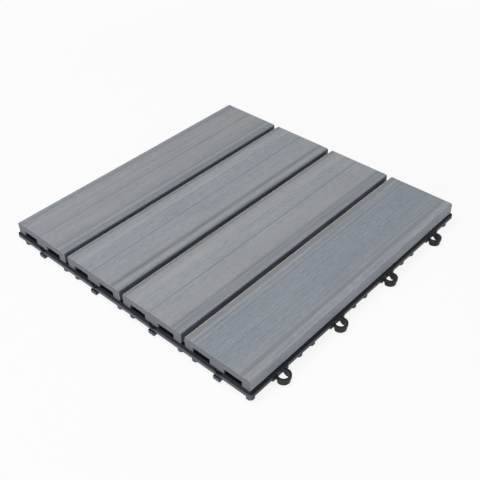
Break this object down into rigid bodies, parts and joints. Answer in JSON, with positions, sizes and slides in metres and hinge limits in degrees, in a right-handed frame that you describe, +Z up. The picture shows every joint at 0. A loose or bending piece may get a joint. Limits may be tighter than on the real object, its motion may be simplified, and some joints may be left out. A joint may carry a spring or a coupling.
{
  "type": "interlocking deck tile",
  "caption": "Square interlocking deck tile: grooved-back wood-composite slats screwed to a black moulded grid with catch rings, lugs and small feet.",
  "frame": {"origin": "on the ground under the middle of the whole outline, rings and lugs included", "axes": "+Z up from the ground, +Y along the slats away from the side with lugs in view, +X across the slats towards the side with rings in view"},
  "size_m": [0.3116, 0.3116, 0.0225],
  "materials": {
    "black_plastic": "satin moulded polypropylene",
    "composite_1": "brushed, capped wood-plastic composite",
    "composite_2": "brushed, capped wood-plastic composite",
    "composite_3": "brushed, capped wood-plastic composite",
    "composite_4": "brushed, capped wood-plastic composite",
    "stainless_steel": "plain"
  },
  "bodies": {
    "root": {"base_grid": "black_plastic", "slat_1": "composite_1", "slat_2": "composite_2", "slat_3": "composite_3", "slat_4": "composite_4", "slat_screws": "stainless_steel"}
  },
  "joints": []
}
